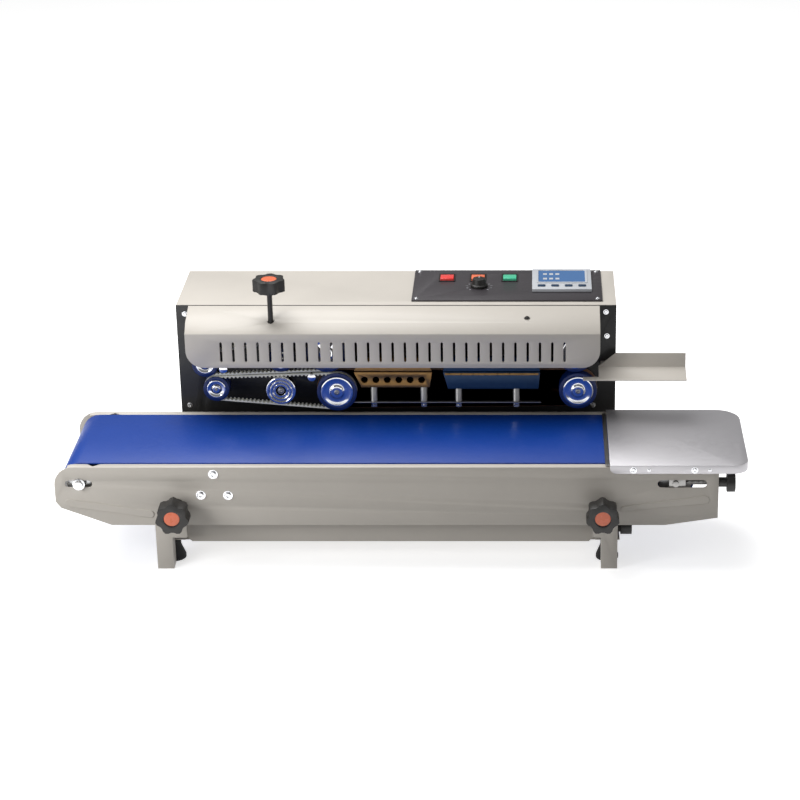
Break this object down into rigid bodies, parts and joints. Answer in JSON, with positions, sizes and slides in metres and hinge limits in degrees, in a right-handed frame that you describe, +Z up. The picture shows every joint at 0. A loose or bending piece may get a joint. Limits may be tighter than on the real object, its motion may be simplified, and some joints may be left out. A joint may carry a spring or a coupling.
{
  "type": "continuous band sealer",
  "caption": "Tabletop continuous band sealer: a belt conveyor on clamped legs in front of a cabinet with band wheels, heating and cooling blocks and a control panel.",
  "frame": {"origin": "centre of the overall box at the level of the feet", "axes": "+X along the conveyor towards its infeed plate, +Y from the operator's side to the back, +Z up"},
  "size_m": [0.84, 0.38, 0.322],
  "materials": {
    "beige_paint": "warm beige powder coat on sheet steel",
    "black_paint": "satin black paint",
    "black_plastic": "moulded black plastic",
    "orange_plastic": "glossy orange plastic",
    "black_rubber": "black rubber",
    "belt_blue": "glossy blue conveyor belting",
    "wheel_blue": "blue moulded wheel",
    "belt_white": "off-white toothed belt",
    "band_brown": "brown coated glass-cloth band",
    "stainless": "polished stainless sheet",
    "steel": "plain machined steel",
    "chrome": "bright plating",
    "brass": "machined brass",
    "blued_steel": "dark blue block",
    "aluminium": "cast or drawn aluminium",
    "red_plastic": "red rocker",
    "green_plastic": "green rocker",
    "silver_plastic": "silver-grey plastic bezel"
  },
  "bodies": {
    "machine": {"base_tray": "beige_paint", "cabinet_shell": "beige_paint", "front_plate": "black_paint", "rear_cover": "beige_paint", "fan_housing": "black_plastic", "power_inlet": "black_plastic", "main_motor": "aluminium", "belt_cover": "beige_paint", "front_left_foot": "black_rubber", "front_right_foot": "black_rubber", "rear_left_foot": "black_rubber", "rear_right_foot": "black_rubber", "sealing_band_lower": "band_brown", "sealing_band_upper": "band_brown", "toothed_belt_lower": "belt_white", "toothed_belt_upper": "belt_white", "lower_cooling_block": "brass", "upper_cooling_block": "brass", "lower_heating_block": "blued_steel", "upper_heating_block": "blued_steel", "support_rail": "steel", "film_guide": "beige_paint", "control_panel": "black_paint", "temperature_controller": "silver_plastic"},
    "legs": {"left_leg": "beige_paint", "right_leg": "beige_paint"},
    "conveyor": {"front_panel": "beige_paint", "rear_panel": "beige_paint", "bed_plate": "stainless", "conveyor_belt": "belt_blue", "drive_axle": "chrome", "conveyor_motor": "steel", "drive_chain": "steel", "end_plate": "stainless"},
    "drive_roller": {"drive_roller": "aluminium"},
    "motor_sprocket": {"motor_sprocket": "steel"},
    "tensioner": {"tail_axle": "steel"},
    "tail_roller": {"tail_roller": "aluminium"},
    "tension_knob": {"tension_knob": "black_plastic"},
    "left_clamp_knob": {"left_clamp_knob": "black_plastic"},
    "right_clamp_knob": {"right_clamp_knob": "black_plastic"},
    "side_knob": {"side_knob": "black_plastic"},
    "lower_drive": {"lower_drive_wheel": "wheel_blue", "lower_gear": "steel"},
    "upper_drive": {"upper_drive_wheel": "wheel_blue", "upper_gear": "steel"},
    "motor_pinion": {"motor_pinion": "steel"},
    "lower_tail": {"lower_tail_wheel": "wheel_blue"},
    "upper_tail": {"upper_tail_wheel": "wheel_blue"},
    "lower_guide": {"lower_guide_wheel": "wheel_blue"},
    "upper_guide": {"upper_guide_wheel": "wheel_blue"},
    "emboss": {"emboss_wheel": "chrome"},
    "press": {"press_arm": "steel"},
    "press_wheel": {"press_wheel": "wheel_blue"},
    "pressure_knob": {"pressure_knob": "black_plastic"},
    "fan_rotor": {"fan_rotor": "black_plastic"},
    "power_switch": {"power_switch": "red_plastic"},
    "sealing_switch": {"sealing_switch": "orange_plastic"},
    "fan_switch": {"fan_switch": "green_plastic"},
    "speed_knob": {"speed_knob": "black_plastic"}
  },
  "joints": [
    {"name": "legs_slide", "type": "slide", "parent": "machine", "child": "legs", "axis": [0, -1, 0], "range_m": [0, 0.03]},
    {"name": "conveyor_lift", "type": "slide", "parent": "legs", "child": "conveyor", "axis": [0, 0, 1], "range_m": [-0.022, 0.004]},
    {"name": "left_clamp_turn", "type": "hinge", "parent": "conveyor", "child": "left_clamp_knob", "pos_m": [-0.2742, -0.152, 0.085], "axis": [0, -1, 0], "range_deg": [0, 360]},
    {"name": "right_clamp_turn", "type": "hinge", "parent": "conveyor", "child": "right_clamp_knob", "pos_m": [0.2432, -0.152, 0.085], "axis": [0, -1, 0], "range_deg": [0, 360]},
    {"name": "side_knob_turn", "type": "hinge", "parent": "machine", "child": "side_knob", "pos_m": [0.2629, -0.119, 0.043], "axis": [1, 0, 0], "range_deg": [0, 360]},
    {"name": "drive_roller_spin", "type": "hinge", "parent": "conveyor", "child": "drive_roller", "pos_m": [-0.39, -0.0655, 0.115], "axis": [0, -1, 0], "continuous": true},
    {"name": "tail_roller_spin", "type": "hinge", "parent": "tensioner", "child": "tail_roller", "pos_m": [0.332, -0.0655, 0.115], "axis": [0, -1, 0], "continuous": true},
    {"name": "motor_sprocket_spin", "type": "hinge", "parent": "conveyor", "child": "motor_sprocket", "pos_m": [-0.227, -0.1458, 0.1145], "axis": [0, -1, 0], "continuous": true},
    {"name": "belt_tension", "type": "slide", "parent": "conveyor", "child": "tensioner", "axis": [1, 0, 0], "range_m": [-0.006, 0]},
    {"name": "tension_knob_turn", "type": "hinge", "parent": "conveyor", "child": "tension_knob", "pos_m": [0.394, -0.146, 0.115], "axis": [1, 0, 0], "range_deg": [0, 1442]},
    {"name": "lower_drive_spin", "type": "hinge", "parent": "machine", "child": "lower_drive", "pos_m": [-0.0878, 0, 0.1729], "axis": [0, -1, 0], "continuous": true},
    {"name": "upper_drive_spin", "type": "hinge", "parent": "machine", "child": "upper_drive", "pos_m": [-0.0996, 0, 0.2252], "axis": [0, -1, 0], "continuous": true},
    {"name": "motor_pinion_spin", "type": "hinge", "parent": "machine", "child": "motor_pinion", "pos_m": [-0.0878, 0.045, 0.13269], "axis": [0, -1, 0], "continuous": true},
    {"name": "lower_tail_spin", "type": "hinge", "parent": "machine", "child": "lower_tail", "pos_m": [0.2158, 0, 0.1743], "axis": [0, -1, 0], "continuous": true},
    {"name": "upper_tail_spin", "type": "hinge", "parent": "machine", "child": "upper_tail", "pos_m": [0.212, 0, 0.2238], "axis": [0, -1, 0], "continuous": true},
    {"name": "lower_guide_spin", "type": "hinge", "parent": "machine", "child": "lower_guide", "pos_m": [-0.2396, 0, 0.177], "axis": [0, -1, 0], "continuous": true},
    {"name": "upper_guide_spin", "type": "hinge", "parent": "machine", "child": "upper_guide", "pos_m": [-0.2522, 0, 0.2098], "axis": [0, -1, 0], "continuous": true},
    {"name": "emboss_spin", "type": "hinge", "parent": "machine", "child": "emboss", "pos_m": [-0.1583, 0, 0.17477], "axis": [0, -1, 0], "continuous": true},
    {"name": "press_slide", "type": "slide", "parent": "machine", "child": "press", "axis": [0, 0, 1], "range_m": [0, 0.003]},
    {"name": "press_wheel_spin", "type": "hinge", "parent": "press", "child": "press_wheel", "pos_m": [-0.1573, 0, 0.21592], "axis": [0, -1, 0], "continuous": true},
    {"name": "pressure_knob_turn", "type": "hinge", "parent": "press", "child": "pressure_knob", "pos_m": [-0.168, 0.006, 0.25], "axis": [0, 0, 1], "range_deg": [0, 722]},
    {"name": "fan_spin", "type": "hinge", "parent": "machine", "child": "fan_rotor", "pos_m": [-0.1631, 0.1782, 0.15], "axis": [0, 1, 0], "continuous": true},
    {"name": "speed_knob_turn", "type": "hinge", "parent": "machine", "child": "speed_knob", "pos_m": [0.09, 0.1, 0.2779], "axis": [0, 0, -1], "range_deg": [0, 270]},
    {"name": "power_switch_rock", "type": "hinge", "parent": "machine", "child": "power_switch", "pos_m": [0.048, 0.133, 0.2779], "axis": [1, 0, 0], "range_deg": [0, 14]},
    {"name": "sealing_switch_rock", "type": "hinge", "parent": "machine", "child": "sealing_switch", "pos_m": [0.088, 0.133, 0.2779], "axis": [1, 0, 0], "range_deg": [0, 14]},
    {"name": "fan_switch_rock", "type": "hinge", "parent": "machine", "child": "fan_switch", "pos_m": [0.129, 0.133, 0.2779], "axis": [1, 0, 0], "range_deg": [0, 14]}
  ],
  "couplings": [
    {"joint": "tail_roller_spin", "follows": "drive_roller_spin", "ratio": 1},
    {"joint": "motor_sprocket_spin", "follows": "drive_roller_spin", "ratio": 1.8667},
    {"joint": "tension_knob_turn", "follows": "belt_tension", "rad_per_m": -4188.8},
    {"joint": "pressure_knob_turn", "follows": "press_slide", "rad_per_m": 4188.8},
    {"joint": "upper_drive_spin", "follows": "lower_drive_spin", "ratio": -1},
    {"joint": "motor_pinion_spin", "follows": "lower_drive_spin", "ratio": -2},
    {"joint": "lower_tail_spin", "follows": "lower_drive_spin", "ratio": 1.0581},
    {"joint": "upper_tail_spin", "follows": "lower_drive_spin", "ratio": -1.0581},
    {"joint": "lower_guide_spin", "follows": "lower_drive_spin", "ratio": 1.5817},
    {"joint": "upper_guide_spin", "follows": "lower_drive_spin", "ratio": -1.5817},
    {"joint": "emboss_spin", "follows": "lower_drive_spin", "ratio": 1.2964},
    {"joint": "press_wheel_spin", "follows": "lower_drive_spin", "ratio": -1.5125}
  ]
}
